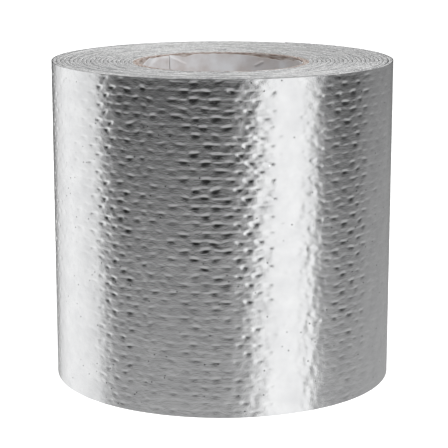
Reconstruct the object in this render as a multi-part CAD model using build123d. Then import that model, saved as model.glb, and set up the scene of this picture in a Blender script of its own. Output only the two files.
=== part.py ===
"""A 100 mm wide roll of foil-faced, cloth-reinforced repair tape on a paper tube core.

The tape is one laminated strip wound nineteen turns round the core, so each of its layers
is a long spiral web. The last few centimetres of the strip, its free end, lift off the roll,
and the end of the release liner peels back from the adhesive there.

Frame: millimetres. The origin is on the roll's axis at the end that it stands on, +Z runs up
the axis, and the free end points counter-clockwise seen from above.
"""

import os
from math import cos, radians, sin

from build123d import *

# The paper tube core.
CORE_BORE_RADIUS = 25.4
CORE_LENGTH = 98.0
LINER_PLY_THICKNESS = 0.3
BOARD_PLY_THICKNESS = 0.425
BOARD_PLY_COUNT = 4
PLY_GLUE_LINE = 0.025
PLY_SEAM_GAP = 0.4
LINER_PLY_SEAM_ANGLE = 131.5
BOARD_SEAM_STEP = 77.0

# The wound tape, from the side that faces the core to the side that shows.
TAPE_WIDTH = 100.0
TURNS = 19
TURN_PITCH = 1.3
LAYER_GAP = 0.02
TAPE_LAYERS = (
    ("release_liner", 0.12),
    ("butyl_adhesive", 0.76),
    ("woven_scrim", 0.18),
    ("backing_film", 0.06),
    ("foil_face", 0.08),
)

# The strip that holds the first turn to the core.
START_TAPE_THICKNESS = 0.1
START_TAPE_LENGTH = 25.0
START_TAPE_SIDE_MARGIN = 2.0
START_TAPE_CLEARANCE = 0.02

# The free end of the tape. Spans are angles round the roll.
FREE_END_AZIMUTH = 66.0
FREE_END_SPAN = 30.0
PULL_END_SPAN = 20.0
CUT_GAP = 0.12

HALF_TURN = 180.0
STRIP_SWEEP = 2 * HALF_TURN * TURNS
CORE_OUTER_RADIUS = (
    CORE_BORE_RADIUS
    + LINER_PLY_THICKNESS
    + BOARD_PLY_COUNT * (BOARD_PLY_THICKNESS + PLY_GLUE_LINE)
)
STRIP_START_RADIUS = CORE_OUTER_RADIUS + START_TAPE_THICKNESS + 2 * START_TAPE_CLEARANCE
LAST_HALF_TURN = 2 * TURNS - 1
LIFT_SWEEP = STRIP_SWEEP - FREE_END_SPAN
PEEL_SWEEP = STRIP_SWEEP - PULL_END_SPAN
CUT_HALF_SWEEP = CUT_GAP / 2 / radians(1) / (STRIP_START_RADIUS + TURNS * TURN_PITCH)


def spiral_centre(half_turn):
    """The centre of a half turn's arc: the two centres are half a pitch apart."""
    side = -1 if half_turn % 2 == 0 else 1
    return side * TURN_PITCH / 4


def spiral_radius(half_turn, offset):
    """The radius of a half turn's arc, offset outwards from the strip's inner face."""
    return STRIP_START_RADIUS + TURN_PITCH / 4 + half_turn * TURN_PITCH / 2 + offset


def spiral_point(sweep, offset, half_turn):
    """The point at a sweep angle from the strip's start, in degrees."""
    radius = spiral_radius(half_turn, offset)
    angle = radians(sweep)
    return (spiral_centre(half_turn) + radius * cos(angle), radius * sin(angle))


def spiral_arcs(start, end, offset):
    """Tangent arcs along the spiral from one sweep angle to another."""
    arcs = []
    half_turn = int(start // HALF_TURN)
    while half_turn * HALF_TURN < end - 1e-9:
        first = max(start, half_turn * HALF_TURN)
        last = min(end, (half_turn + 1) * HALF_TURN)
        centre = (spiral_centre(half_turn), 0)
        radius = spiral_radius(half_turn, offset)
        arcs.append(CenterArc(centre, radius, first % 360, last - first))
        half_turn += 1
    return arcs


def strip_solid(start, end, offset, thickness):
    """One layer of the strip between two sweep angles, over the tape's whole width."""
    inner = spiral_arcs(start, end, offset)
    outer = spiral_arcs(start, end, offset + thickness)
    start_edge = Line(outer[0] @ 0, inner[0] @ 0)
    end_edge = Line(inner[-1] @ 1, outer[-1] @ 1)
    outline = Wire([*inner, end_edge, *reversed(outer), start_edge])
    solid = extrude(Face(outline), amount=TAPE_WIDTH, dir=(0, 0, 1))
    return Rot(0, 0, FREE_END_AZIMUTH) * solid


def ring_sector(inner_radius, thickness, first_angle, sweep, length):
    """A tube wall, open over the rest of the circle, centred on the tape's width."""
    inner = CenterArc((0, 0), inner_radius, first_angle, sweep)
    outer = CenterArc((0, 0), inner_radius + thickness, first_angle, sweep)
    ends = (Line(outer @ 0, inner @ 0), Line(inner @ 1, outer @ 1))
    outline = Wire([inner, ends[1], outer, ends[0]])
    solid = extrude(Face(outline), amount=length, dir=(0, 0, 1))
    return Pos(0, 0, (TAPE_WIDTH - length) / 2) * solid


def core_ply(inner_radius, thickness, seam_angle):
    """One paper ply of the core, whose edges meet at a narrow butt seam."""
    seam = PLY_SEAM_GAP / radians(1) / inner_radius
    return ring_sector(inner_radius, thickness, seam_angle + seam / 2, 360 - seam, CORE_LENGTH)


def core_parts():
    """The white liner ply, and the board plies round it with staggered seams."""
    parts = {"core_liner_ply": core_ply(CORE_BORE_RADIUS, LINER_PLY_THICKNESS, LINER_PLY_SEAM_ANGLE)}
    radius = CORE_BORE_RADIUS + LINER_PLY_THICKNESS
    for number in range(1, BOARD_PLY_COUNT + 1):
        radius += PLY_GLUE_LINE
        seam_angle = LINER_PLY_SEAM_ANGLE + number * BOARD_SEAM_STEP
        parts[f"core_board_ply_{number}"] = core_ply(radius, BOARD_PLY_THICKNESS, seam_angle)
        radius += BOARD_PLY_THICKNESS
    return parts


def start_tape():
    """The short double-sided strip under the start of the first turn."""
    radius = CORE_OUTER_RADIUS + START_TAPE_CLEARANCE
    sweep = START_TAPE_LENGTH / radians(1) / radius
    length = CORE_LENGTH - 2 * START_TAPE_SIDE_MARGIN
    return ring_sector(radius, START_TAPE_THICKNESS, FREE_END_AZIMUTH, sweep, length)


def tape_parts():
    """Each layer of the wound strip, and the same layer of its free end.

    The liner's free end is in two pieces: one that stays on the adhesive, and one to pull.
    """
    parts = {}
    offset = 0.0
    for name, thickness in TAPE_LAYERS:
        parts[name] = strip_solid(0, LIFT_SWEEP - CUT_HALF_SWEEP, offset, thickness)
        end = STRIP_SWEEP
        if name == "release_liner":
            end = PEEL_SWEEP - CUT_HALF_SWEEP
            pull_start = PEEL_SWEEP + CUT_HALF_SWEEP
            parts["release_liner_pull_end"] = strip_solid(pull_start, STRIP_SWEEP, offset, thickness)
        parts[f"free_end_{name}"] = strip_solid(LIFT_SWEEP + CUT_HALF_SWEEP, end, offset, thickness)
        offset += thickness + LAYER_GAP
    return parts


def hinge_point(sweep, offset):
    """A bending line of the strip, seen from above, at an offset from its inner face."""
    x, y = spiral_point(sweep, offset, LAST_HALF_TURN)
    turned = Vector(x, y, 0).rotate(Axis.Z, FREE_END_AZIMUTH)
    return (turned.X, turned.Y)


def main():
    os.makedirs("parts", exist_ok=True)
    parts = {**core_parts(), "core_start_tape": start_tape(), **tape_parts()}
    for name, solid in parts.items():
        export_step(solid, f"parts/{name}.step")
    tape_thickness = sum(thickness + LAYER_GAP for _, thickness in TAPE_LAYERS) - LAYER_GAP
    print("tape end hinge", hinge_point(LIFT_SWEEP, tape_thickness))
    print("liner end hinge", hinge_point(PEEL_SWEEP, 0))
    print("core outer radius", CORE_OUTER_RADIUS, "strip start radius", STRIP_START_RADIUS)


main()
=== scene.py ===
"""The looks of a roll of foil-faced, cloth-reinforced repair tape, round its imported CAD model.

Every layer of the tape is one long spiral strip, so each layer here is a skin swept along the
same spiral as its CAD node. The core's plies are skins swept round the roll's axis. Units are
metres, and MM turns millimetres into metres. A sweep is an angle along the strip, in degrees
from its start at the core.
"""

from functools import partial
from math import atan2, cos, degrees, pi, radians, sin

import bpy
import numpy as np
from mathutils import Euler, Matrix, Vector


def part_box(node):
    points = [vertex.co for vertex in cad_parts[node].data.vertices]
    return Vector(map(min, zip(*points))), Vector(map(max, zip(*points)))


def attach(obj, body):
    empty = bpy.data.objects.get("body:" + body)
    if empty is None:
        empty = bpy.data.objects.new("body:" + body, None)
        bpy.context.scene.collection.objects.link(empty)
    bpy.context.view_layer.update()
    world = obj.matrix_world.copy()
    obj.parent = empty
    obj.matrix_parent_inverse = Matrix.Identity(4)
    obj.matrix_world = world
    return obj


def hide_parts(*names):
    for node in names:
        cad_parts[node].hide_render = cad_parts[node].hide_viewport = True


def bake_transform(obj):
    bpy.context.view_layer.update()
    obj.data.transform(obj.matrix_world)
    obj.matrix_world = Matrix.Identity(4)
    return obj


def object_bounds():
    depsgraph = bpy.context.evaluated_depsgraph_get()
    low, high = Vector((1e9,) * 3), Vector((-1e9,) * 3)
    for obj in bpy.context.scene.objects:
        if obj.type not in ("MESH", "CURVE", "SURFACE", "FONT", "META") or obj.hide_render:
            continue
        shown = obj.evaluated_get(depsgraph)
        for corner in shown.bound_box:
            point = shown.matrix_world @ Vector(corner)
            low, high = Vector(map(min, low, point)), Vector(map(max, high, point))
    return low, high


MM = 0.001

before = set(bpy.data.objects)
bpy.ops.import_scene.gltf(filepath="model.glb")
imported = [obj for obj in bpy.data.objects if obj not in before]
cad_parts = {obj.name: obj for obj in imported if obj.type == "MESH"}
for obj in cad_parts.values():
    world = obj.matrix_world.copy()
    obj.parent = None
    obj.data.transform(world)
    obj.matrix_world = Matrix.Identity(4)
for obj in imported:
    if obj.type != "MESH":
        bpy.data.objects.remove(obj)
cad_low, cad_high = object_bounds()

# The wound strip, as the CAD model lays it.
TAPE_WIDTH = cad_high.z - cad_low.z
STRIP_START_RADIUS = 27.64 * MM
TURN_PITCH = 1.3 * MM
TURNS = 19
FREE_END_AZIMUTH = 66.0
STRIP_SWEEP = 360.0 * TURNS
LIFT_SWEEP = STRIP_SWEEP - 30
PEEL_SWEEP = STRIP_SWEEP - 20
EMBOSSED_SWEEP = LIFT_SWEEP - 370
# Degrees between the rings of a layer: finer in the free end.
ROLL_STEP = 1.5
FREE_END_STEP = 0.5
# Edges that turn by more degrees than this stay sharp.
SHARP_ANGLE = 50

# How deep each layer lies in the strip, from the side that faces the core.
LINER = (0.0, 0.11 * MM)
ADHESIVE = (0.13 * MM, 0.84 * MM)
SCRIM = (0.86 * MM, 0.98 * MM)
FILM = (0.99 * MM, 1.02 * MM)
FOIL = (1.03 * MM, 1.28 * MM)
PLAIN_FOIL = (1.12 * MM, 1.24 * MM)

# The ends of the roll: the turns sink towards the core, and each is wound a little off. In
# TURN_UNEVENNESS, that is its mean, its waves with their wavelengths, and its least and most.
DISH_DEPTH = 0.8 * MM
DISH_POWER = 1.3
TURN_UNEVENNESS = 0.09 * MM
TURN_MEAN = 1.3
TURN_WAVES = ((1.0, 250 * MM), (0.6, 60 * MM))
TURN_LIMITS = (0, 3)

# How the long edges of a layer waver: over what length, and how much faster through the layer.
EDGE_WAVELENGTH = 9 * MM
EDGE_THROUGH = 6

# The cloth that shows through the foil. Its columns are uneven: COLUMN_SPREAD is the least and
# the most of WEAVE_COLUMN between two. CROSSING_SHIFT is how far a crossing strays off its
# column and its row, in columns and rows.
WEAVE_ROWS = 39
WEAVE_ROW = TAPE_WIDTH / WEAVE_ROWS
WEAVE_COLUMN = 3.2 * MM
SPARE_COLUMNS = 3
COLUMN_SPREAD = (0.65, 1.25)
CROSSING_SHIFT = (0.12, 0.07)
# How hard a crossing presses: its own least and most, times its column's.
CROSSING_PRESS = (0.4, 1.2)
COLUMN_PRESS = (0.7, 1.2)
RELIEF_DEPTH = 0.25 * MM

# Where the foil's mesh has its points: within each row, closer in its hollow, this many rows
# from the rims, to keep them crisp, and how many there are to a column.
ROW_PHASES = (0.02, 0.17, 0.32, 0.46, 0.58, 0.68, 0.76, 0.85)
RIM_LOOP = 0.01
COLUMN_SAMPLES = 6

# The shapes at a crossing. Heights and depths are shares of RELIEF_DEPTH. The rest are in rows
# and columns: how far each shape lies above or below its row, how tall it is and how wide.
DASH_HEIGHT = 0.16
DASH_ABOVE = 0.05
DASH_TALL = 0.16
DASH_WIDE = 0.36
PIT_DEPTH = 0.75
PIT_BELOW = 0.25
PIT_SHELF = 0.25
PIT_WIDE = 0.32
BLOB_HEIGHT = 0.25
BLOB_BELOW = 0.12
BLOB_TALL = 0.34
BLOB_WIDE = 0.34
LINE_DEPTH = 0.3
LINE_BELOW = 0.2
LINE_SHELF = 0.2
LINE_WIDE = 0.32
# How tall the steep upper wall of a pit or line is, in rows.
STEEP_WALL = 0.08

# How firmly the cloth shows, by degrees back from where the free end lifts.
FIRMNESS = (
    (-30, 0.9), (10, 0.9), (32, 0.45), (60, 0.35), (70, 0.5), (74, 1.0), (91, 1.0), (94, 0.5),
    (104, 0.5), (108, 1.2), (112, 1.8), (121, 1.8), (126, 1.2), (131, 1.1), (135, 0.75),
    (143, 0.5), (154, 0.55), (158, 1.2), (166, 1.2), (172, 0.9), (178, 1.1), (200, 1.1),
    (240, 1.0), (300, 0.7), (370, 0.9),
)
# What share of that is left at the foot of the roll, and the heights it grows to the whole over.
FOOT_FIRMNESS = 0.44
FIRMING_HEIGHTS = (0.1 * TAPE_WIDTH, 0.6 * TAPE_WIDTH)
# What share is left at the roll's two rims, and how many rows in from them it grows over.
RIM_FIRMNESS = 0.3
RIM_ROWS = 0.8
# It is uneven too: its mean, the size and wavelength of its patches, and its least and most.
FIRM_MEAN = 0.95
FIRM_PATCHES = (0.25, 30 * MM)
FIRM_LIMITS = (0.4, 1.3)

# How far the cloth drifts along and up, with the wavelengths of the drift, and, in rows, how
# far its rows waver. The foil's ends and rims stay where they are.
DRIFT_ALONG = (0.3 * MM, 15 * MM)
DRIFT_UP = (0.2 * MM, 45 * MM)
ROW_WAVER = (0.09, 9 * MM)
FIXED_END = 3 * MM

# The crumple of the foil, in shares of RELIEF_DEPTH, with its wavelengths.
CRUMPLES = ((0.06, 8 * MM), (0.035, 2.4 * MM))
# Where it is crumpled the most, in degrees back from the lift: the middle, the reach, how much
# more it is there, and how much of that fades out towards the top.
CRUMPLED = ((114, 10, 1.2, 0.0), (97, 5, 2.0, 0.9))

# The embossed foil's mean face lies this far inside its layer, and its pits leave this least
# thickness.
FOIL_SETTLED = 0.03 * MM
FOIL_LEAST = 0.015 * MM
# It may stand this proud of its layer, but not where the strip's last stretch lies over it: the
# sweeps are where it may do so fully, and where it may not at all.
FOIL_PROUD = 0.2 * MM
COVERED_SWEEP = (EMBOSSED_SWEEP + 50, EMBOSSED_SWEEP + 44)
# The rims of the embossed foil sink with the roll's end faces, by this share.
FOIL_SINK = 0.3

# The last stretch before the free end isn't pulled down hard: it stands off a little.
SLACK = 0.28 * MM
SLACK_SWEEP = (LIFT_SWEEP - 105, LIFT_SWEEP - 60)

# Near the core each turn lies level, and climbs over the strip's own start in this last share
# of the turn. Farther out it climbs more evenly.
CLIMB = (0.95, 1.0)

# The core.
BORE_RADIUS = 25.4 * MM
LINER_PLY = 0.3 * MM
BOARD_PLY = 0.425 * MM
GLUE_LINE = 0.025 * MM
CORE_SEAM_ANGLE = 131.5
BOARD_SEAM_STEP = 77.0
PLY_SEAM_GAP = 0.2 * MM
PLY_SECTORS = 360
# How far a board's cut edge lies inside the tube's, and how ragged it is.
BOARD_SHORTFALL = 0.05 * MM
BOARD_RAGGED = (0.1 * MM, 2.5 * MM)
# Where the mesh of the core's liner has its points, from 0 at its foot to 1: closer at the rims.
LINER_LEVELS = np.concatenate([
    np.linspace(0, 0.08, 20), np.linspace(0.1, 0.9, 30), np.linspace(0.92, 1, 24),
])
# Where the core's liner is torn short at its rim: the middle, depth and spread of each tear.
TEARS = ((radians(46), 1.1 * MM, 0.2), (radians(117), 0.6 * MM, 0.05), (radians(170), 1.5 * MM, 0.1))
# How far the rest of its edge lies inside the tube's, and how ragged it is.
LINER_SHORTFALL = 0.4 * MM
LINER_RAGGED = (0.13 * MM, 6 * MM)
# The step where the liner laps itself, and how many degrees past the seam it has sunk back
# and where it starts to.
LAP = 0.1 * MM
LAP_ENDS = (4.0, 0.4)
# The arched patch round the seam: its middle and half width in degrees, how far it stands
# proud, how far below the rim its sides end, how far its top rises from there, and its slope.
ARCH_MIDDLE = CORE_SEAM_ANGLE + 6
ARCH_HALF_WIDTH = 23
ARCH_PROUD = 0.3 * MM
ARCH_FOOT = 5.2 * MM
ARCH_RISE = 4.4 * MM
ARCH_SLOPE = 1.2 * MM
# Fold lines in the core's liner: the height, the middle and half width in degrees, and how far
# below the rim each starts and ends. Each is this many degrees thick, and fades at its ends.
CREASES = (
    (0.2 * MM, CORE_SEAM_ANGLE + 353, 8.0, 1.5 * MM, 4.6 * MM),
    (0.4 * MM, CORE_SEAM_ANGLE + 289, -2.8, 3.5 * MM, 5.0 * MM),
)
CREASE_THICKNESS = 1.0
CREASE_FADE = 0.1
# The gentle waves of the liner's wall. Heights count by this share, so that the waves are
# longer up the wall than round it, and they go no deeper than this.
LINER_WAVES = (0.08 * MM, 14 * MM)
HEIGHT_SHARE = 0.5
DEEPEST_WAVE = 0.1 * MM

# Noise lies mostly between these.
NOISE_RANGE = (0.3, 0.7)
# A speck's darkest part, as a share of its radius, and how much of the colour is left there.
SPECK_HEART = 0.6
SPECK_LEVEL = 0.1


# Shapes

def ripples(seed, wavelength, *places, waves=8):
    """Smooth noise, mostly within -1 and 1, as a sum of waves in random directions."""
    random = np.random.default_rng(seed)
    total = 0.0
    for _ in range(waves):
        direction = random.normal(size=len(places))
        direction /= np.linalg.norm(direction)
        along = sum(part * place for part, place in zip(direction, places))
        pitch = wavelength * random.uniform(0.6, 1.7)
        total = total + np.sin(2 * pi * along / pitch + random.uniform(0, 2 * pi))
    return total / waves ** 0.5


def stray(seed, amount, wavelength, *places):
    """Smooth noise that strays by an amount, over a wavelength."""
    return amount * ripples(seed, wavelength, *places)


def smooth_step(value, start, end):
    """0 before start, 1 after end, and a smooth rise between."""
    share = np.clip((value - start) / (end - start), 0, 1)
    return share * share * (3 - 2 * share)


def arc_length(sweep):
    """The length of strip from its start to a sweep angle."""
    angle = np.radians(sweep)
    return STRIP_START_RADIUS * angle + TURN_PITCH / (4 * pi) * angle ** 2


def sweep_at(length):
    """The sweep angle at a length of strip from its start."""
    growth = TURN_PITCH / (4 * pi)
    root = np.sqrt(STRIP_START_RADIUS ** 2 + 4 * growth * length)
    return np.degrees((root - STRIP_START_RADIUS) / (2 * growth))


def spiral_points(sweep, offset, height):
    """Points of the wound strip. Each half turn is an arc about one of two centres."""
    half_turn = np.clip(np.ceil(sweep / 180) - 1, 0, 2 * TURNS - 1)
    centre = np.where(half_turn % 2 == 0, -1, 1) * TURN_PITCH / 4
    radius = STRIP_START_RADIUS + TURN_PITCH / 4 + half_turn * TURN_PITCH / 2 + offset
    radius = radius + SLACK * smooth_step(sweep, *SLACK_SWEEP)
    share = sweep % 360 / 360
    radius = radius - TURN_PITCH * (1 - sweep / STRIP_SWEEP) * share * (1 - smooth_step(share, *CLIMB))
    turned = radians(FREE_END_AZIMUTH)
    angle = np.radians(sweep) + turned
    x = centre * cos(turned) + radius * np.cos(angle)
    y = centre * sin(turned) + radius * np.sin(angle)
    return np.stack(np.broadcast_arrays(x, y, height), axis=-1)


def skin(name, points, flat):
    """A closed piece through rings of points, capped at both ends.

    points[i, j] is point j of ring i. flat holds each point's place on the laid-out sheet,
    which the materials are drawn on: along, across and through it.
    """
    rings, ring_points = points.shape[:2]
    first = np.arange(rings - 1)[:, None] * ring_points
    here = np.arange(ring_points)[None, :]
    beyond = (here + 1) % ring_points
    corners = [first + here, first + ring_points + here, first + ring_points + beyond, first + beyond]
    faces = np.stack(corners, axis=-1).reshape(-1, 4).tolist()
    faces.append(list(range(ring_points)))
    faces.append(list(reversed(range((rings - 1) * ring_points, rings * ring_points))))
    mesh = bpy.data.meshes.new(name)
    mesh.from_pydata(points.reshape(-1, 3).tolist(), [], faces)
    mesh.shade_smooth()
    mesh.set_sharp_from_angle(angle=radians(SHARP_ANGLE))
    place = mesh.attributes.new("flat", "FLOAT_VECTOR", "POINT")
    place.data.foreach_set("vector", flat.astype(np.float32).ravel())
    piece = bpy.data.objects.new(name, mesh)
    bpy.context.scene.collection.objects.link(piece)
    return piece


def end_sink(sweep):
    """How far the roll's end faces lie inside its full width."""
    share = 1 - sweep / STRIP_SWEEP
    waves = sum(stray(11 + number, *wave, arc_length(sweep)) for number, wave in enumerate(TURN_WAVES))
    return DISH_DEPTH * share ** DISH_POWER + TURN_UNEVENNESS * np.clip(TURN_MEAN + waves, *TURN_LIMITS)


def strip_piece(name, start, end, layer, inset, bulge, roughness, edge_points, seed):
    """One layer of the strip. Its long edges are rounded, and waver at the roll's ends.

    inset is how far the edge stays inside the roll's end face, bulge is how far the edge's
    middle swells beyond its corners, and roughness is the size of its waver.
    """
    step = ROLL_STEP if start == 0 else FREE_END_STEP
    sweep = np.linspace(start, end, round((end - start) / step) + 1)[:, None]
    low, high = layer
    turn = np.linspace(0, pi, edge_points)[None, :]
    middle = (low + high) / 2
    half = (high - low) / 2
    offset = middle + half * np.cos(turn) * (1 + 0 * sweep)
    length = arc_length(sweep)
    rise = bulge * np.sin(turn) - inset - end_sink(sweep)
    top = rise + stray(seed, roughness, EDGE_WAVELENGTH, length, offset * EDGE_THROUGH)
    bottom = rise + stray(seed + 1, roughness, EDGE_WAVELENGTH, length, offset * EDGE_THROUGH)
    top_points = spiral_points(sweep, offset, cad_high.z + np.minimum(top, 0))
    bottom_points = spiral_points(sweep, offset[:, ::-1], cad_low.z - np.minimum(bottom, 0)[:, ::-1])
    points = np.concatenate([bottom_points, top_points], axis=1)
    offsets = np.concatenate([offset[:, ::-1], offset], axis=1)
    flat = np.stack(np.broadcast_arrays(length, points[..., 2], offsets), axis=-1)
    return skin(name, points, flat)


def weave_columns():
    """Where the cloth's columns lie along the outer turns, and how each crossing differs.

    A crossing has how hard it presses, and how far it lies off its column and its row.
    """
    random = np.random.default_rng(20)
    start = arc_length(EMBOSSED_SWEEP) - SPARE_COLUMNS * WEAVE_COLUMN
    mean_column = WEAVE_COLUMN * sum(COLUMN_SPREAD) / 2
    count = round((arc_length(STRIP_SWEEP) - start) / mean_column) + 2 * SPARE_COLUMNS
    places = start + WEAVE_COLUMN * np.cumsum(random.uniform(*COLUMN_SPREAD, size=count))
    rows_and_beyond = WEAVE_ROWS + 3
    crossings = (rows_and_beyond, count)
    press = random.uniform(*CROSSING_PRESS, size=crossings) * random.uniform(*COLUMN_PRESS, size=count)
    shifts = [reach * random.normal(size=crossings) for reach in CROSSING_SHIFT]
    return places, np.stack([press, *shifts])


def bell(value, width, power=2):
    """1 at 0, falling off on both sides. A higher power gives a flatter top and steeper sides."""
    return np.exp(-(np.abs(value / width) ** power))


def hollow(up, along, below, shelf, wide):
    """A hollow that lies below its row, with a steep wall above it and a slow shelf under it."""
    tall = np.where(up > -below, STEEP_WALL, shelf)
    return bell(up + below, tall) * bell(along, wide, power=3)


def weave_relief(column, row, crossings):
    """How far the cloth lifts the foil at a place in it, counted in columns and rows.

    It is a plain weave. Where a yarn that runs round the roll is on top it lifts a dash, with a
    pit below it that shelves up slowly. Where one along the axis is on top it lifts a blob, and
    a shallow line runs on across it.
    """
    relief = 0.0
    for row_step in (-1, 0, 1):
        for column_step in (-1, 0, 1):
            at_row = np.round(row).astype(int) + row_step
            at_column = np.round(column).astype(int) + column_step
            row_in = np.clip(at_row + 1, 0, crossings.shape[1] - 1)
            column_in = np.clip(at_column, 0, crossings.shape[2] - 1)
            press, along_shift, up_shift = crossings[:, row_in, column_in]
            up = row - at_row - up_shift
            along = column - at_column - along_shift
            dash = DASH_HEIGHT * bell(up - DASH_ABOVE, DASH_TALL) * bell(along, DASH_WIDE)
            pit = PIT_DEPTH * hollow(up, along, PIT_BELOW, PIT_SHELF, PIT_WIDE)
            blob = BLOB_HEIGHT * bell(up + BLOB_BELOW, BLOB_TALL) * bell(along, BLOB_WIDE)
            line = LINE_DEPTH * hollow(up, along, LINE_BELOW, LINE_SHELF, LINE_WIDE)
            relief = relief + press * np.where((at_row + at_column) % 2 == 0, dash - pit, blob - line)
    return relief


def firmness(sweep, length, level, edge):
    """How firmly the cloth shows at a place. edge is 0 at the rims and 1 away from them."""
    firm = np.interp(LIFT_SWEEP - sweep, *zip(*FIRMNESS))
    firm = firm * np.clip(FIRM_MEAN + stray(24, *FIRM_PATCHES, length, level), *FIRM_LIMITS)
    firm = firm * (RIM_FIRMNESS + (1 - RIM_FIRMNESS) * edge)
    return firm * (FOOT_FIRMNESS + (1 - FOOT_FIRMNESS) * smooth_step(level, *FIRMING_HEIGHTS))


def crumple(sweep, length, level):
    """How far the foil stands in or out by itself, in shares of RELIEF_DEPTH."""
    relief = sum(stray(25 + number, *wave, length, level) for number, wave in enumerate(CRUMPLES))
    for middle, reach, more, fade in CRUMPLED:
        beside = bell(LIFT_SWEEP - sweep - middle, reach)
        relief = relief * (1 + more * beside * (1 - fade * level / TAPE_WIDTH))
    return relief


def foil_piece(name, start, end):
    """A stretch of foil whose outer face is pressed into the cloth under it."""
    places, crossings = weave_columns()
    first, last = arc_length(start), arc_length(end)
    span = np.interp((first, last), places, np.arange(len(places)))
    column = np.linspace(*span, round((span[1] - span[0]) * COLUMN_SAMPLES) + 1)[:, None]
    row = np.add.outer(np.arange(WEAVE_ROWS), ROW_PHASES).ravel()
    row = np.concatenate([[0, RIM_LOOP], row[1:], [WEAVE_ROWS - RIM_LOOP, WEAVE_ROWS]])[None, :]
    length = np.interp(column, np.arange(len(places)), places) + 0 * row
    inside = smooth_step(np.minimum(length - first, last - length), 0, FIXED_END)
    level = row * WEAVE_ROW + 0 * length
    length = length + inside * stray(22, *DRIFT_ALONG, length, level)
    sweep = sweep_at(length)
    edge = smooth_step(np.minimum(row, WEAVE_ROWS - row), 0, RIM_ROWS)
    height = level + edge * stray(23, *DRIFT_UP, length, level)
    sink = end_sink(sweep) * FOIL_SINK
    height = cad_low.z + sink + height * (1 - 2 * sink / TAPE_WIDTH)
    weave = weave_relief(column, row + stray(27, *ROW_WAVER, length, level), crossings)
    relief = firmness(sweep, length, level, edge) * weave + crumple(sweep, length, level)
    outer = FOIL[1] - FOIL_SETTLED + RELIEF_DEPTH * relief
    covered = smooth_step(sweep, *COVERED_SWEEP)
    outer = np.clip(outer, FOIL[0] + FOIL_LEAST, FOIL[1] + FOIL_PROUD * (1 - covered))
    outer_points = spiral_points(sweep, outer, height)
    inner_top = spiral_points(sweep[:, -1:], FOIL[0], height[:, -1:])
    inner_bottom = spiral_points(sweep[:, :1], FOIL[0], height[:, :1])
    points = np.concatenate([inner_bottom, outer_points, inner_top], axis=1)
    lengths = np.concatenate([length[:, :1], length, length[:, -1:]], axis=1)
    flat = np.stack([lengths, points[..., 2], 0 * lengths], axis=-1)
    return skin(name, points, flat)


def ply_piece(name, inner_radius, thickness, seam_angle, edge, marks=None, levels=(0.0, 1.0)):
    """One paper ply of the core. edge gives its cut edges, and marks those on its inner wall."""
    low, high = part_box(name)
    gap = degrees(PLY_SEAM_GAP / inner_radius)
    ends = (seam_angle + gap / 2, seam_angle + 360 - gap / 2)
    angle = np.linspace(*ends, PLY_SECTORS + 1)[:, None]
    length = np.radians(angle) * inner_radius
    top = high.z + edge(length)
    bottom = low.z - edge(length + TAPE_WIDTH)
    wall = bottom + (top - bottom) * np.asarray(levels)[None, :]
    radius = inner_radius - (marks(angle, wall) if marks else 0 * wall)
    outer = inner_radius + thickness + 0 * wall[:, :1]
    radii = np.concatenate([outer, outer, radius[:, ::-1]], axis=1)
    heights = np.concatenate([bottom, top, wall[:, ::-1]], axis=1)
    turned = np.radians(angle)
    points = np.stack([radii * np.cos(turned), radii * np.sin(turned), heights], axis=-1)
    flat = np.stack(np.broadcast_arrays(length, heights, radii), axis=-1)
    return skin(name.replace("core", "paper_core"), points, flat)


# Materials

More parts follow.
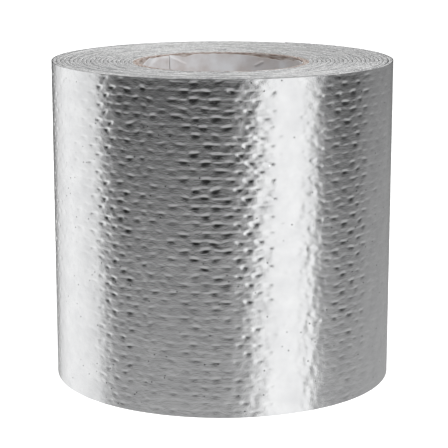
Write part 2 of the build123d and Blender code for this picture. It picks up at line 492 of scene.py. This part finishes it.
class Shading:
    """A material in the making: small steps that add one node each."""

    def __init__(self, name, roughness=0.5, metallic=0.0):
        self.material = bpy.data.materials.new(name)
        self.material.use_nodes = True
        self.tree = self.material.node_tree
        self.shader = self.tree.nodes["Principled BSDF"]
        self.shader.inputs["Roughness"].default_value = roughness
        self.shader.inputs["Metallic"].default_value = metallic
        self.place = self.node("ShaderNodeAttribute").outputs["Vector"]
        self.place.node.attribute_name = "flat"

    def node(self, kind, **inputs):
        """Adds a node. Each input is a socket or a plain value."""
        made = self.tree.nodes.new(kind)
        for name, value in inputs.items():
            socket = made.inputs[name.replace("_", " ")]
            if isinstance(value, bpy.types.NodeSocket):
                self.tree.links.new(value, socket)
            else:
                socket.default_value = value
        return made

    def stretched(self, scale):
        """The sheet's own place, scaled along, across and through it."""
        mapping = self.node("ShaderNodeMapping", Vector=self.place, Scale=scale)
        return mapping.outputs["Vector"]

    def noise(self, size, detail=3.0, stretch=(1, 1, 1)):
        """Noise whose blotches are about size across."""
        place = self.stretched(stretch)
        made = self.node("ShaderNodeTexNoise", Vector=place, Scale=1 / size, Detail=detail)
        return made.outputs["Fac"]

    def painted_specks(self, color, spacing, share):
        """A colour with sparse dark round specks of painted reflection. share is a speck's radius in
        spacings.
        """
        cells = self.node("ShaderNodeTexVoronoi", Vector=self.place, Scale=1 / spacing)
        span = {"From_Min": share * SPECK_HEART, "From_Max": share, "To_Min": SPECK_LEVEL}
        level = self.node("ShaderNodeMapRange", Value=cells.outputs["Distance"], **span)
        made = self.node("ShaderNodeVectorMath", Vector=color)
        made.operation = "SCALE"
        self.tree.links.new(level.outputs["Result"], made.inputs["Scale"])
        return made.outputs["Vector"]

    def ramp(self, value, stops):
        """Colours by value, from a list of position and colour."""
        made = self.node("ShaderNodeValToRGB", Fac=value)
        elements = made.color_ramp.elements
        while len(elements) < len(stops):
            elements.new(0.5)
        for element, (position, color) in zip(elements, stops):
            element.position = position
            element.color = (*color, 1)
        return made.outputs["Color"]

    def shades(self, noise, dark, pale):
        """Noise as a colour between a dark one and a pale one."""
        return self.ramp(noise, list(zip(NOISE_RANGE, (dark, pale))))

    def spread(self, noise, low, high):
        """Noise as a level between low and high."""
        span = {"From_Min": NOISE_RANGE[0], "From_Max": NOISE_RANGE[1], "To_Min": low, "To_Max": high}
        return self.node("ShaderNodeMapRange", Value=noise, **span).outputs["Result"]

    def into(self, name, socket):
        """Feeds an input of the shader."""
        self.tree.links.new(socket, self.shader.inputs[name])

    def bumps(self, *steps):
        """Height noises, each with the depth in metres that it stands for."""
        normal = None
        for height, depth in steps:
            bump = self.node("ShaderNodeBump", Height=height, Distance=depth)
            if normal is not None:
                self.tree.links.new(normal, bump.inputs["Normal"])
            normal = bump.outputs["Normal"]
        self.into("Normal", normal)


def foil_material():
    """Bright rolled aluminium: fine creases, rolling lines round the roll, and a few dark specks painted
    in as the reflection of small dents.
    """
    foil = Shading("aluminium_foil", metallic=1.0)
    clouds = foil.shades(foil.noise(6 * MM), (0.80, 0.805, 0.815), (0.9, 0.905, 0.91))
    # Painted reflection: dark specks that stand in for small dents catching dark reflections.
    foil.into("Base Color", foil.painted_specks(clouds, 3 * MM, 0.085))
    foil.into("Roughness", foil.spread(foil.noise(4 * MM, 4.0), 0.12, 0.22))
    creases = foil.noise(0.9 * MM, 4.0, stretch=(0.6, 1, 1))
    rolling = foil.noise(0.5 * MM, 3.0, stretch=(0.3, 1, 1))
    grain = foil.noise(0.35 * MM, 2.0)
    foil.bumps((creases, 0.03 * MM), (rolling, 0.018 * MM), (grain, 0.03 * MM))
    return foil.material


def cut_foil_material():
    """The same foil where it was slit, dull and dark: only its edges show, between the turns."""
    foil = Shading("cut_foil", roughness=0.5, metallic=1.0)
    foil.into("Base Color", foil.shades(foil.noise(2 * MM), (0.36, 0.365, 0.37), (0.62, 0.625, 0.63)))
    foil.bumps((foil.noise(0.4 * MM, 4.0), 0.03 * MM))
    return foil.material


def film_material():
    """Clear plastic film, which looks pale grey at its edge."""
    film = Shading("clear_film", roughness=0.5)
    film.into("Base Color", film.shades(film.noise(2 * MM), (0.34, 0.345, 0.35), (0.5, 0.505, 0.51)))
    film.bumps((film.noise(0.8 * MM), 0.02 * MM))
    return film.material


def scrim_material():
    """Woven white yarns, in pale and dark beads where they cross."""
    scrim = Shading("woven_yarn", roughness=0.75)
    place = scrim.stretched((1, 1, 0))
    waves = scrim.node("ShaderNodeTexWave", Vector=place, Scale=pi / (10 * WEAVE_COLUMN), Distortion=3.0)
    yarns = waves.outputs["Fac"]
    fibres = scrim.noise(0.25 * MM, stretch=(1, 0.2, 1))
    scrim.into("Base Color", scrim.ramp(yarns, [(0.1, (0.26, 0.26, 0.255)), (0.6, (0.5, 0.5, 0.49))]))
    scrim.bumps((yarns, 0.08 * MM), (fibres, 0.03 * MM))
    return scrim.material


def adhesive_material():
    """Grey butyl: dull, a little tacky, full of fine grain where it was slit."""
    butyl = Shading("grey_butyl")
    butyl.shader.inputs["Specular IOR Level"].default_value = 0.25
    grain = butyl.noise(0.55 * MM, 5.0)
    stops = [(0.36, (0.17, 0.17, 0.175)), (0.5, (0.34, 0.34, 0.345)), (0.63, (0.56, 0.56, 0.56))]
    butyl.into("Base Color", butyl.ramp(grain, stops))
    butyl.into("Roughness", butyl.spread(butyl.noise(1.5 * MM), 0.6, 0.85))
    butyl.bumps((grain, 0.2 * MM), (butyl.noise(3 * MM), 0.12 * MM))
    return butyl.material


def liner_material():
    """Siliconised white paper."""
    liner = Shading("silicone_paper", roughness=0.6)
    clouds = liner.noise(1.2 * MM, 4.0)
    fibres = liner.noise(0.2 * MM, 4.0, stretch=(0.3, 1, 1))
    liner.into("Base Color", liner.shades(clouds, (0.62, 0.62, 0.615), (0.76, 0.76, 0.75)))
    liner.bumps((fibres, 0.01 * MM), (liner.noise(12 * MM), 0.1 * MM))
    return liner.material


def core_liner_material():
    """Smooth off-white paper with faint clouds, and brown board showing at its cut edge."""
    paper = Shading("core_paper", roughness=0.6)
    clouds = paper.noise(6 * MM, 5.0)
    stops = [(0.34, (0.5, 0.465, 0.455)), (0.5, (0.57, 0.555, 0.56)), (0.66, (0.64, 0.645, 0.66))]
    paper.into("Base Color", paper.ramp(clouds, stops))
    paper.bumps((paper.noise(0.25 * MM, 5.0), 0.012 * MM), (paper.noise(9 * MM), 0.1 * MM))
    return paper.material


def board_material():
    """Brown kraft board with short fibres lying round the tube."""
    board = Shading("kraft_board", roughness=0.85)
    fibres = board.noise(0.5 * MM, 5.0, stretch=(0.15, 1, 1))
    stops = [(0.32, (0.16, 0.115, 0.09)), (0.5, (0.33, 0.275, 0.245)), (0.66, (0.47, 0.43, 0.41))]
    board.into("Base Color", board.ramp(fibres, stops))
    board.bumps((fibres, 0.12 * MM))
    return board.material


def start_tape_material():
    """A strip of white double-sided tape, a little yellowed."""
    tape = Shading("start_tape", roughness=0.5)
    tape.place = tape.node("ShaderNodeTexCoord").outputs["Object"]
    tape.into("Base Color", tape.shades(tape.noise(2 * MM), (0.7, 0.69, 0.63), (0.84, 0.83, 0.79)))
    tape.bumps((tape.noise(0.6 * MM), 0.02 * MM))
    return tape.material


# Pieces


def bend(piece):
    """Bakes the piece's placement into its mesh."""
    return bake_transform(piece)


def place_piece(piece, material, slot, *nodes):
    """Gives a piece its material, and hides the CAD nodes that it stands for. slot is not used."""
    piece.data.materials.append(material)
    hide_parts(*nodes)
    return piece


def make_strips():
    """The plain layers, each wound on the roll and then on through its free end."""
    adhesive_shape = {"inset": 0.12 * MM, "bulge": 0.12 * MM, "roughness": 0.05 * MM, "edge_points": 7}
    thin_shape = {"inset": 0.05 * MM, "bulge": 0.02 * MM, "roughness": 0.04 * MM, "edge_points": 3}
    layers = (
        ("release_liner", LINER, thin_shape, liner_material(), "release_liner", PEEL_SWEEP),
        ("butyl_adhesive", ADHESIVE, adhesive_shape, adhesive_material(), "adhesive", STRIP_SWEEP),
        ("woven_scrim", SCRIM, thin_shape, scrim_material(), "scrim", STRIP_SWEEP),
        ("backing_film", FILM, thin_shape, film_material(), "film", STRIP_SWEEP),
    )
    for number, (node, layer, shape, material, slot, end) in enumerate(layers):
        seed = 40 + 2 * number
        roll = strip_piece(f"wound_{node}", 0, LIFT_SWEEP, layer, seed=seed, **shape)
        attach(place_piece(roll, material, slot, node), "roll")
        flap = strip_piece(f"flap_{node}", LIFT_SWEEP, end, layer, seed=seed, **shape)
        bend(place_piece(flap, material, slot, f"free_end_{node}"))
        if end == PEEL_SWEEP:
            pull = strip_piece("liner_pull_tab", end, STRIP_SWEEP, layer, seed=seed, **shape)
            bend(place_piece(pull, material, slot, "release_liner_pull_end"))


def make_foil():
    """The foil: plain inside the roll, and embossed where it can be seen."""
    material = foil_material()
    shape = {"inset": 0.04 * MM, "bulge": 0.01 * MM, "roughness": 0.04 * MM, "edge_points": 3}
    inner = strip_piece("wound_foil_inner_turns", 0, EMBOSSED_SWEEP, PLAIN_FOIL, seed=50, **shape)
    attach(place_piece(inner, cut_foil_material(), "foil", "foil_face"), "roll")
    outer = foil_piece("wound_foil_outer_turn", EMBOSSED_SWEEP, LIFT_SWEEP)
    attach(place_piece(outer, material, "foil", "foil_face"), "roll")
    flap = foil_piece("flap_foil_face", LIFT_SWEEP, STRIP_SWEEP)
    bend(place_piece(flap, material, "foil", "free_end_foil_face"))


def liner_ply_marks(angle, height):
    """The lapped seam, the arched patch round it and two creases, near the core's top."""
    depth = cad_high.z - height
    lap = LAP * smooth_step(angle - CORE_SEAM_ANGLE, *LAP_ENDS)
    beside = (angle - ARCH_MIDDLE + 180) % 360 - 180
    arch = np.clip(1 - (beside / ARCH_HALF_WIDTH) ** 2, 0, 1)
    top = ARCH_FOOT - ARCH_RISE * arch
    patch = ARCH_PROUD * smooth_step(depth - top, 0, ARCH_SLOPE) * arch ** 0.5
    waves = stray(31, *LINER_WAVES, np.radians(angle) * BORE_RADIUS, height * HEIGHT_SHARE)
    creases = sum(rise * crease(angle, depth, *place) for rise, *place in CREASES)
    return lap + patch + np.maximum(waves, -DEEPEST_WAVE) + creases


def crease(angle, depth, middle_angle, half_width, top, bottom):
    """Where a fold line that slants down the wall is: 1 along it, and 0 away from it."""
    share = (depth - top) / (bottom - top)
    line = middle_angle - half_width * (2 * share - 1)
    begun = smooth_step(share, -CREASE_FADE, CREASE_FADE)
    ended = smooth_step(share, 1 - CREASE_FADE, 1 + CREASE_FADE)
    return begun * (1 - ended) * bell(angle - line, CREASE_THICKNESS)


def liner_edge(length):
    """How far the liner's cut edge stands past the tube's: it falls short, and more in its tears."""
    angle = length / BORE_RADIUS
    tears = sum(depth * bell(np.sin((angle - middle) / 2), spread) for middle, depth, spread in TEARS)
    return stray(61, *LINER_RAGGED, length) - LINER_SHORTFALL - tears


def board_edge(length, seed):
    """How far a board's cut edge stands past the tube's."""
    return stray(seed, *BOARD_RAGGED, length) - BOARD_SHORTFALL


def make_core():
    """The white paper liner and the four plies of kraft board round it."""
    liner = ply_piece(
        "core_liner_ply", BORE_RADIUS, LINER_PLY, CORE_SEAM_ANGLE, liner_edge,
        marks=liner_ply_marks, levels=LINER_LEVELS,
    )
    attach(place_piece(liner, core_liner_material(), "core_liner", "core_liner_ply"), "roll")
    board = board_material()
    radius = BORE_RADIUS + LINER_PLY
    for number in range(1, 5):
        radius += GLUE_LINE
        name = f"core_board_ply_{number}"
        seam = CORE_SEAM_ANGLE + number * BOARD_SEAM_STEP
        ply = ply_piece(name, radius, BOARD_PLY, seam, partial(board_edge, seed=62 + number))
        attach(place_piece(ply, board, "kraft_board", name), "roll")
        radius += BOARD_PLY
    start_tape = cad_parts["core_start_tape"]
    start_tape.data.materials.clear()
    start_tape.data.materials.append(start_tape_material())


# The studio

def make_floor():
    """A wide pale floor. The foil doesn't mirror it, so that the studio shows there."""
    half = 4.0
    corners = [(-half, -half), (half, -half), (half, half), (-half, half)]
    mesh = bpy.data.meshes.new("floor")
    mesh.from_pydata([(x, y, cad_low.z) for x, y in corners], [], [(0, 1, 2, 3)])
    floor = bpy.data.objects.new("floor", mesh)
    bpy.context.scene.collection.objects.link(floor)
    material = bpy.data.materials.new("pale_floor")
    material.use_nodes = True
    shader = material.node_tree.nodes["Principled BSDF"]
    shader.inputs["Base Color"].default_value = (0.5, 0.5, 0.5, 1)
    shader.inputs["Roughness"].default_value = 0.9
    shader.inputs["Specular IOR Level"].default_value = 0.1
    shader.inputs["Emission Color"].default_value = WHITE
    shader.inputs["Emission Strength"].default_value = 0.8
    mesh.materials.append(material)
    floor.visible_glossy = False


def ramp_node(tree, value, stops, span):
    """Grey levels by place, from pairs of place and level. value is the place, in spans from 0.

    A span is the whole range of places, with 0 in its middle.
    """
    made = tree.nodes.new("ShaderNodeValToRGB")
    elements = made.color_ramp.elements
    while len(elements) < len(stops):
        elements.new(0.5)
    for element, (place, level) in zip(elements, stops):
        element.position = place / span + 0.5
        element.color = (level, level, level, 1)
    tree.links.new(math_node(tree, "ADD", value, 0.5), made.inputs["Fac"])
    return made.outputs["Color"]


def math_node(tree, operation, first, second):
    """A sum on two values, each a socket or a number."""
    made = tree.nodes.new("ShaderNodeMath")
    made.operation = operation
    for socket, value in zip(made.inputs, (first, second)):
        if isinstance(value, bpy.types.NodeSocket):
            tree.links.new(value, socket)
        else:
            socket.default_value = value
    return made.outputs["Value"]


def mix_node(tree, share, first, second):
    """A colour a share of the way from the first to the second."""
    made = tree.nodes.new("ShaderNodeMix")
    made.data_type = "RGBA"
    for socket, value in zip((made.inputs[0], made.inputs[6], made.inputs[7]), (share, first, second)):
        if isinstance(value, bpy.types.NodeSocket):
            tree.links.new(value, socket)
        else:
            socket.default_value = value
    return made.outputs[2]


WHITE = (1.0, 1.0, 1.0, 1.0)
# The whole range of a bearing, in degrees, and of a sine.
BEARING_SPAN = 360
SINE_SPAN = 2
# Tall white panels round the studio, by bearing from the camera in degrees: right is positive.
PANELS = (
    (-180, 0.0), (-157, 0.0), (-151, 0.58), (-142, 0.75), (-125, 0.97), (-108, 0.87), (-90, 0.7),
    (-85, 0.2), (-75, 0.0), (4, 0.0), (13, 0.1), (20, 0.3), (27, 0.85), (34, 1.0), (54, 1.0),
    (63, 0.88), (66, 0.08), (92, 0.0),
)
# A dim panel far round to the right, which hangs higher than the others.
HIGH_PANEL = ((92, 0.0), (112, 0.14), (150, 0.17), (180, 0.0))
# Where each kind of panel ends below, and how bright the studio is between the panels. These
# go by the sine of the elevation.
PANEL_FOOT = ((-0.96, 0.0), (-0.8, 1.0))
HIGH_PANEL_FOOT = ((-0.32, 0.0), (-0.18, 1.0))
GAPS = (
    (-1.0, 0.08), (-0.86, 0.3), (-0.66, 0.48), (-0.36, 0.44), (-0.28, 0.35), (-0.2, 0.21),
    (-0.12, 0.115), (-0.05, 0.05), (0.01, 0.015), (0.42, 0.02), (0.56, 0.6), (1.0, 0.95),
)


def panel_glow(tree, turn, rise, panels, foot):
    """How much of a direction panels fill: by its bearing, and less below where they end."""
    across = ramp_node(tree, turn, panels, BEARING_SPAN)
    return math_node(tree, "MULTIPLY", across, ramp_node(tree, rise, foot, SINE_SPAN))


def make_studio():
    """A white studio with tall panels standing round it, and two soft lamps overhead."""
    scene = bpy.context.scene
    scene.world = bpy.data.worlds.new("studio")
    scene.world.use_nodes = True
    tree = scene.world.node_tree
    background = tree.nodes["Background"]
    direction = tree.nodes.new("ShaderNodeTexCoord").outputs["Generated"]
    parts = tree.nodes.new("ShaderNodeSeparateXYZ")
    tree.links.new(direction, parts.inputs["Vector"])
    toward_camera = math_node(tree, "MULTIPLY", parts.outputs["Y"], -1.0)
    bearing = math_node(tree, "ARCTAN2", parts.outputs["X"], toward_camera)
    turn = math_node(tree, "DIVIDE", bearing, 2 * pi)
    rise = math_node(tree, "DIVIDE", parts.outputs["Z"], SINE_SPAN)
    low_panels = panel_glow(tree, turn, rise, PANELS, PANEL_FOOT)
    high_panel = panel_glow(tree, turn, rise, HIGH_PANEL, HIGH_PANEL_FOOT)
    panels = math_node(tree, "ADD", low_panels, high_panel)
    ring = mix_node(tree, panels, ramp_node(tree, rise, GAPS, SINE_SPAN), WHITE)
    # The backdrop itself is plain white: the panels and the gaps only light the roll.
    seen = tree.nodes.new("ShaderNodeLightPath").outputs["Is Camera Ray"]
    tree.links.new(mix_node(tree, seen, ring, WHITE), background.inputs["Color"])
    lamp("key_light", place=(0.75, -0.55, 1.0), size=0.7, power=13)
    lamp("fill_light", place=(-0.7, -0.3, 1.1), size=0.9, power=5)
    scene.view_settings.view_transform = "Standard"


def lamp(name, place, size, power):
    """A square soft lamp aimed at the roll."""
    light = bpy.data.lights.new(name, "AREA")
    light.size = size
    light.energy = power
    holder = bpy.data.objects.new(name, light)
    bpy.context.scene.collection.objects.link(holder)
    holder.location = place
    aim = Vector((0, 0, TAPE_WIDTH / 2)) - Vector(place)
    holder.rotation_euler = aim.to_track_quat("-Z", "Y").to_euler()


def make_camera():
    """A long lens in front of the roll, looking a little down."""
    data = bpy.data.cameras.new("camera")
    data.lens = 131.54
    data.sensor_width = 36
    data.shift_x = 0.0067
    camera = bpy.data.objects.new("camera", data)
    bpy.context.scene.collection.objects.link(camera)
    camera.location = (0, -0.5113, 0.1577)
    camera.rotation_euler = Euler((radians(90 - 12.22), 0, 0))
    bpy.context.scene.camera = camera


make_camera()
make_core()
make_strips()
make_foil()
make_floor()
make_studio()
